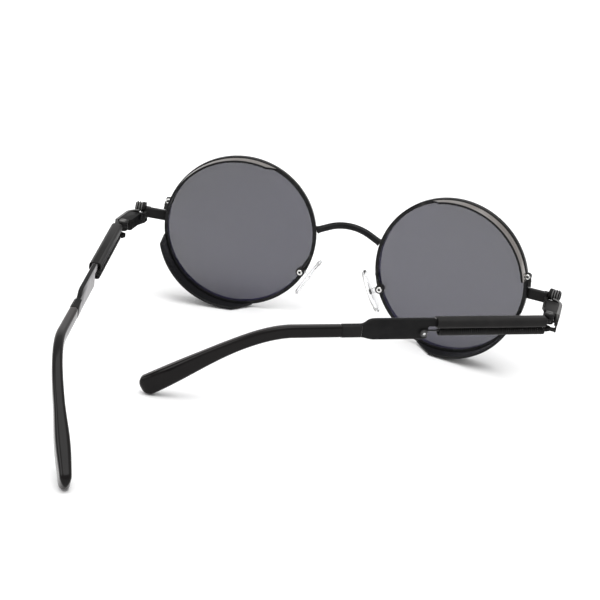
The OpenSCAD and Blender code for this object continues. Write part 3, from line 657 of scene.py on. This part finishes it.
# Faces seen edge on turn light grey with brushed streaks: a painted sheen.
painted_sheen_mask = sheet.facing().within(0.73, 0.86)
brushed_lines = sheet.noise(900, 2, 0.5, (1, 1, 0.1))
painted_sheen = sheet.mix(brushed_lines.within(0.3, 0.7), (0.34, 0.335, 0.34), (0.50, 0.49, 0.50))
sheet.surface(Base_Color=sheet.mix(painted_sheen_mask, sheet.colour, painted_sheen))
upright = Matrix(((0, 0, 1, 0), (-1, 0, 0, 0), (0, 1, 0, 0), (0, 0, 0, 1)))


def fillet(points, radii, steps=5):
    """Rounds the corners of an outline."""
    out = []
    n = len(points)
    for i, (p, r) in enumerate(zip(points, radii)):
        p = np.array(p, float)
        a, b = np.array(points[i - 1], float) - p, np.array(points[(i + 1) % n], float) - p
        la, lb = np.linalg.norm(a), np.linalg.norm(b)
        cut = min(r, la * 0.45, lb * 0.45)
        if cut < 1e-6:
            out.append(tuple(p))
            continue
        a, b = p + a / la * cut, p + b / lb * cut
        out += [tuple((1 - t) ** 2 * a + 2 * t * (1 - t) * p + t * t * b)
                for t in np.linspace(0, 1, steps)]
    return out


neck_top, neck_bottom = neck_z + neck_half, neck_z - neck_half
temple_shape = [(strip_start, low_top), (step_from, low_top), (step_to, strip_top),
                (wide_end, strip_top), (wide_end + 1.4, strip_top - 0.3), (neck_start, neck_top),
                (temple_straight, neck_top), (temple_straight, neck_bottom),
                (neck_start, neck_bottom), (wide_end + 1.4, plate_bottom + 0.3),
                (wide_end, plate_bottom), (recess_end, plate_bottom),
                (recess_end, strip_bottom), (strip_start, strip_bottom)]
corner_radii = [0, 0, 0, 2, 1.2, 1, 0, 0, 1, 1.2, 2, 0.9, 0.5, 0]
temple = Form()
temple.slab(fillet(temple_shape, corner_radii)[::-1], -half_plate, half_plate, 0.26,
            on_strip @ upright)
neck = [(neck_start + 0.4, neck_bottom + 0.1), (temple_straight, neck_bottom + 0.1),
        (temple_straight, neck_top - 0.1), (neck_start + 0.4, neck_top - 0.1)]
temple.slab(neck, -neck_half_thick, neck_half_thick, 0.5, on_strip @ upright)
knuckle(temple, knuckle_low, knuckle_high, straight, hole=0.75)
temple.slab([(0.3, -1.85), (2.05, -1.85), (2.05, -0.05), (0.9, -0.9), (0.3, -0.9)],
            knuckle_low, knuckle_high, 0.08)
arms(temple, "temple", "black_metal", sheet)


# The spring housings: hollow sleeves of satin black metal with rounded
# sides, pressed onto the strip of each temple, closed in front.
sleeve_start, sleeve_end, sleeve_z = 1.95, 36, -0.6
half_sleeve, half_wide, sleeve_corner, sleeve_wall = 1.5, 1.8, 1.15, 0.35
corners = ((1, 1), (-1, 1), (-1, -1), (1, -1))


def sleeve_ring(s, inset):
    """The sleeve's outline at a distance behind the hinge, drawn in by an inset."""
    r = sleeve_corner - inset * 0.6
    wide, half = half_wide - inset, half_sleeve - inset
    return [(sx * (wide - r) + r * math.cos(a), -s, sz * (half - r) + r * math.sin(a))
            for c, (sx, sz) in enumerate(corners)
            for a in np.radians(np.linspace(0, 90, 7) + 90 * c)]


housings = Form().skin([sleeve_ring(sleeve_start, 0.12), sleeve_ring(sleeve_start + 0.12, 0),
                        sleeve_ring(sleeve_end - 0.08, 0), sleeve_ring(sleeve_end, 0.06),
                        sleeve_ring(sleeve_end, sleeve_wall),
                        sleeve_ring(sleeve_start + 0.8, sleeve_wall)],
                       on_strip @ moved(0, 0, sleeve_z))
housing_black = black_plate("satin black housing", (0.005, 0.005, 0.0055), (0.010, 0.0098, 0.0098),
                            0.34, 0.12, 0.05)
# Faces seen at a slant turn lighter grey: a painted sheen.
painted_side_sheen = housing_black.facing().within(0.45, 0.85)
housing_black.surface(
    Base_Color=housing_black.mix(painted_side_sheen, housing_black.colour, (0.05, 0.049, 0.049)))
arms(housings, "sleeve", "black_metal", housing_black)


# The springs: one piece of black wire each, wound close, hooked into the
# hinge eye in front and round a small screw behind.
coil_r, wire_r, spring_z, spring_out = 0.92, 0.28, -3.7, 1.2
coil_start, coil_end, coil_turns, per_turn = 1.7, 34.95, 54, 18
hook_s, hook_z, hook_r = recess_end + 1.5, -3.5, 0.8
hook_out = strip_out + half_plate + 0.25 + 0.08
coil_top, hook_top, hook_low = spring_z + coil_r, hook_z + hook_r, hook_z - hook_r
lead_z = eye_top + 0.36
lead = [(0, 0, eye_bottom - 0.45), (0, 0, eye_bottom + 0.1), (0, 0, eye_top - 0.1),
        (0.02, -0.06, eye_top + 0.16), (0.06, -0.18, eye_top + 0.32), (0.14, -0.36, lead_z),
        (0.34, -0.7, lead_z), (0.62, -1.1, (2 * lead_z + coil_top) / 3),
        (spring_out - 0.25, -1.48, coil_top)]
coil = [(spring_out + coil_r * math.sin(2 * math.pi * turns),
         -(coil_start + turns * (coil_end - coil_start) / coil_turns),
         spring_z + coil_r * math.cos(2 * math.pi * turns))
        for turns in np.arange(coil_turns * per_turn - 4) / per_turn]
tail = [(hook_out - 0.5, -coil_end - 0.35, hook_top), (hook_out - 0.15, -coil_end - 1.0, hook_top),
        (hook_out, -coil_end - 1.7, hook_top)]
loop = [(hook_out, -(hook_s - hook_r * math.cos(a)), hook_z + hook_r * math.sin(a))
        for a in np.radians(np.arange(90, 283, 12))]
loop_end = loop[-1][1]
loop += [(hook_out, loop_end + 0.25, hook_low + 0.08), (hook_out, loop_end + 0.5, hook_low + 0.14)]
spring_steel = black_plate("black spring wire", (0.007, 0.007, 0.0075), (0.014, 0.014, 0.014),
                           0.28, 0.1)
springs = Form().rod(lead + coil + tail + loop, wire_r, 8)
arms(springs, "spring", "black_metal", spring_steel)


# The spring screws: blackened steel, the drive recess painted light grey as a painted highlight.
# Each runs outwards through the wide plate and holds the spring's rear hook under its head.
spring_screw_place = moved(strip_out - half_plate, -hook_s, hook_z) @ turned_about("Y", 90)
spring_screws = screw(Form(), spring_screw_place,
                      shank=0.96, length=2 * half_plate + 0.66, head=2.0, height=0.45)
blackened = Finish("blackened steel screw")
# The marked drive recess is painted light grey: a painted highlight.
drive_highlight_mask = blackened.marked()
darkening = blackened.noise(2600, 2)
blackened.surface(
    Base_Color=blackened.mix(
        drive_highlight_mask, blackened.mix(darkening, (0.03, 0.03, 0.03), (0.07, 0.07, 0.07)),
        (0.75, 0.75, 0.75)),
    Roughness=0.22 + 0.1 * darkening,
    Metallic=0.5,
)
arms(spring_screws, "spring_screw", "bright_steel", blackened)


# The tips: polished black plastic sleeves that bend down behind the ear and
# a little inward, over a steel core wire.
tip_length, tip_inward, tip_drop = 52.8, 10.6, 21.83
bend_from, bend_share = 0.26, 1.88
tip_high, tip_flare, flare_from = 3.7, 2.3, 0.5
tip_wide, tip_widening, widening_to = 2.4, 0.6, 0.8
tip_swell, swell_from = 0.8, 0.66
tip_round, tip_corner = 0.038, 0.36


def part_way(t, start, stop):
    """0 up to the start, 1 from the stop, and even in between."""
    return min(1, max(0, (t - start) / (stop - start)))


def tip_line(t):
    """The middle of the tip, from 0 at the neck to 1 at its end."""
    late = max(0, (t - bend_from) / (1 - bend_from))
    bend = bend_share * late ** 2 - (bend_share - 1) * late ** 3
    return np.array((strip_out - tip_inward * bend, -(temple_straight + tip_length * t),
                     neck_z - tip_drop * bend))


def tip_ring(t, share):
    """The tip's outline there, its corners well rounded, drawn in to a share."""
    along = tip_line(t + 0.002) - tip_line(t - 0.002) if t > 0 else np.array((0, -1, 0))
    along = along / np.linalg.norm(along)
    side = np.cross((0, 0, 1), along)
    side /= np.linalg.norm(side)
    up = np.cross(along, side)
    high = tip_high + tip_flare * math.sin(math.pi / 2 * part_way(t, flare_from, 1)) ** 2
    wide = (tip_wide + tip_widening * part_way(t, 0, widening_to)
            + tip_swell * math.sin(math.pi * part_way(t, swell_from, 1)) ** 2)
    r = min(high, wide) * tip_corner * share
    return [tip_line(t) + (sx * (wide * share / 2 - r) + r * math.cos(a)) * side
            + (sz * (high * share / 2 - r) + r * math.sin(a)) * up
            for c, (sx, sz) in enumerate(corners)
            for a in np.radians(np.linspace(0, 90, 9) + 90 * c)]


plastic = Finish("polished black plastic")
waves = plastic.noise(120, 3, 0.55)
# Faces seen edge on turn lighter grey: a painted sheen.
plastic.surface(
    Base_Color=plastic.mix(
        plastic.facing().within(0.4, 0.8),
        plastic.mix(waves.within(0.3, 0.7), (0.0045, 0.004, 0.004), (0.007, 0.006, 0.006)),
        (0.098, 0.092, 0.092)),
    Roughness=0.13 + 0.08 * waves,
    Specular_IOR_Level=0.12,
    IOR=1.5,
    Normal=plastic.bump(waves, 0.15, 0.0001),
)
stations = [(0, 0.93), (0.003, 0.98), (0.008, 1)]
stations += [(t, 1) for t in np.linspace(0.02, 1 - tip_round, 60)]
stations += [(1 - tip_round * (1 - math.sin(a)), max(0.05, math.cos(a)))
             for a in np.radians(np.linspace(8, 88, 12))]
tips = Form().skin([tip_ring(t, share) for t, share in stations])
arms(tips, "temple_tip", "black_tip", plastic, 60)


# The core wires: bright steel, pushed into the necks and hidden in the tips.
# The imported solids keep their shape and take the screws' steel.
for side in ("right", "left"):
    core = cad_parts[side + "_core_wire"]
    core.data.materials.clear()
    core.data.materials.append(bright.material)


# The table: a plain white surface, lit by a soft white studio with a broad
# sky, a softbox overhead and a weaker one on the left.
table_half, table_z = 12, -0.0001
table_finish = Finish("white table")
table_finish.surface(
    Base_Color=table_finish.mix(table_finish.noise(8, 2).within(0.3, 0.7),
                                (0.90, 0.90, 0.90), (0.92, 0.92, 0.92)),
    Roughness=0.9,
)
table_mesh = bpy.data.meshes.new("table")
table_mesh.from_pydata([(sx * table_half, sy * table_half, table_z)
                        for sx, sy in ((-1, -1), (1, -1), (1, 1), (-1, 1))], [], [(0, 1, 2, 3)])
table_mesh.materials.append(table_finish.material)
table = bpy.data.objects.new("table", table_mesh)
bpy.context.scene.collection.objects.link(table)

world = bpy.data.worlds.new("white studio")
bpy.context.scene.world = world
world.use_nodes = True
studio = world.node_tree.nodes["Background"].inputs
studio["Color"].default_value = (1, 1, 1, 1)
studio["Strength"].default_value = 0.62


def lamp(name, kind, power):
    """A light of a kind, put into the scene."""
    light = bpy.data.objects.new(name, bpy.data.lights.new(name, kind))
    light.data.energy = power
    bpy.context.scene.collection.objects.link(light)
    return light


def softbox(name, where, aim, size, power):
    """A square area light that looks at a point."""
    box = lamp(name, "AREA", power)
    box.data.shape = "SQUARE"
    box.data.size = size
    box.location = where
    box.rotation_euler = (Vector(aim) - Vector(where)).to_track_quat("-Z", "Y").to_euler()


sky = lamp("soft sky", "SUN", 1.2)
sky.data.angle = math.radians(100)
sky.rotation_euler = (math.radians(-12), 0, 0)
softbox("overhead light", (0.1, -0.1, 0.9), (0, -0.05, 0), 0.7, 4.5)
softbox("left light", (-0.7, -0.5, 0.6), (0, -0.05, 0.02), 0.5, 3)


# The camera: it stands behind and above the wearer's right side, as for the
# photograph, and is rolled a little.
camera = bpy.data.objects.new("camera", bpy.data.cameras.new("camera"))
camera.data.lens = 79.32
camera.data.sensor_width = 36
camera.data.sensor_fit = "HORIZONTAL"
camera.location = (0.08103, -0.38413, 0.17356)
camera.rotation_euler = [math.radians(a) for a in (66.841, -6.633, 16.460)]
bpy.context.scene.collection.objects.link(camera)
bpy.context.scene.camera = camera
bpy.context.scene.view_settings.view_transform = "Standard"
